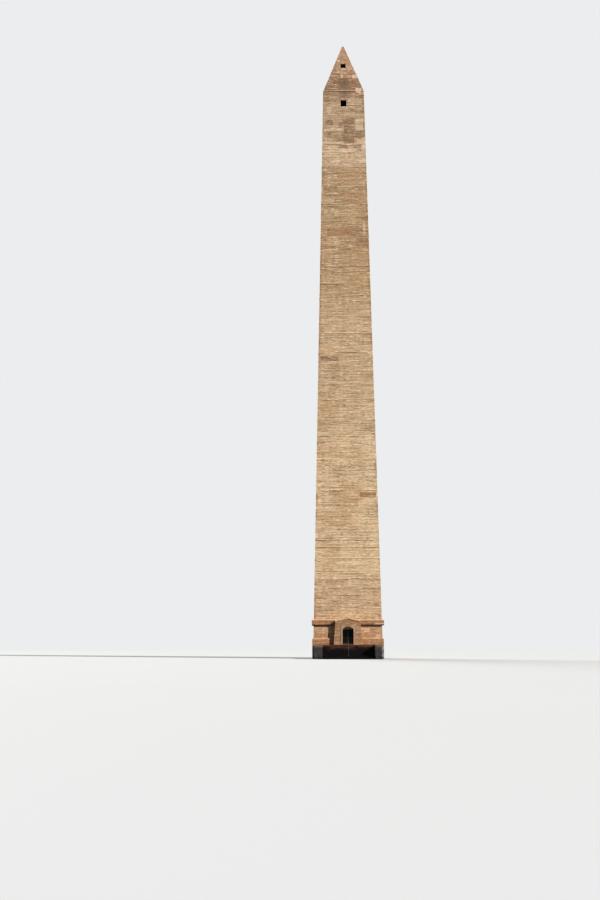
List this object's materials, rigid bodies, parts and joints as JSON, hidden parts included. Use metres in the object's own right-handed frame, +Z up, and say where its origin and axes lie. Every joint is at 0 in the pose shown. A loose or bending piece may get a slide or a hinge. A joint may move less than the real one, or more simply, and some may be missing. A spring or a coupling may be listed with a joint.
{
  "type": "hollow concrete memorial obelisk, 1:10 scale model",
  "caption": "Tall hollow battered obelisk of board-marked concrete with a pyramid top, square windows, a gabled entrance bay with a pair of doors and a stair; 1:10 model.",
  "frame": {"origin": "on the tower's axis at ground level, at the foot of the stair", "axes": "+Z up the tower's axis, -Y out of the entrance front, +X to the right seen from the front"},
  "size_m": [1.1256, 1.7108, 10.7],
  "materials": {
    "shaft_concrete": "board-marked, weathered, pale tan",
    "upper_concrete": "board-marked, patched, pale tan",
    "pyramid_concrete": "board-marked, patched, tan",
    "plinth_concrete": "board-marked, stained, warm tan",
    "base_concrete": "smooth cast, weathered",
    "cornice_concrete": "smooth cast, weathered",
    "bay_concrete": "smooth cast, stained",
    "coping_concrete": "smooth cast, pale",
    "surround_concrete": "smooth cast, greyish",
    "foundation_concrete": "mass concrete, weathered",
    "step_concrete": "dark, weathered and worn",
    "cheek_concrete": "grey cast, weathered",
    "floor_concrete": "trowelled",
    "door_metal": "dark, satin",
    "transom_metal": "dark brown, satin",
    "door_glass": "dark, clear",
    "rail_metal": "dull galvanised grey"
  },
  "bodies": {
    "tower": {"foundation": "foundation_concrete", "landing": "step_concrete", "stair_steps": "step_concrete", "left_cheek_wall": "cheek_concrete", "right_cheek_wall": "cheek_concrete", "handrail": "rail_metal", "entrance_floor": "floor_concrete", "threshold": "surround_concrete", "plinth_front_left": "plinth_concrete", "plinth_front_right": "plinth_concrete", "plinth_lintel": "plinth_concrete", "plinth_left": "plinth_concrete", "plinth_right": "plinth_concrete", "plinth_back": "plinth_concrete", "base_course": "base_concrete", "cornice": "cornice_concrete", "bay_left_jamb": "bay_concrete", "bay_right_jamb": "bay_concrete", "bay_gable": "bay_concrete", "gable_coping": "coping_concrete", "door_surround": "surround_concrete", "transom": "transom_metal", "viewing_floor": "floor_concrete", "upper_floor": "floor_concrete", "capstone": "pyramid_concrete", "shaft_front_lower": "shaft_concrete", "shaft_front_upper": "upper_concrete", "pyramid_front": "pyramid_concrete", "shaft_right_lower": "shaft_concrete", "shaft_right_upper": "upper_concrete", "pyramid_right": "pyramid_concrete", "shaft_back_lower": "shaft_concrete", "shaft_back_upper": "upper_concrete", "pyramid_back": "pyramid_concrete", "shaft_left_lower": "shaft_concrete", "shaft_left_upper": "upper_concrete", "pyramid_left": "pyramid_concrete"},
    "left_door": {"left_door": "door_metal", "left_door_glass": "door_glass"},
    "right_door": {"right_door": "door_metal", "right_door_glass": "door_glass"}
  },
  "joints": [
    {"name": "left_door_hinge", "type": "hinge", "parent": "tower", "child": "left_door", "pos_m": [-0.0804, -0.557, 0.334], "axis": [0, 0, 1], "range_deg": [0, 90]},
    {"name": "right_door_hinge", "type": "hinge", "parent": "tower", "child": "right_door", "pos_m": [0.0804, -0.557, 0.334], "axis": [0, 0, -1], "range_deg": [0, 90]}
  ]
}
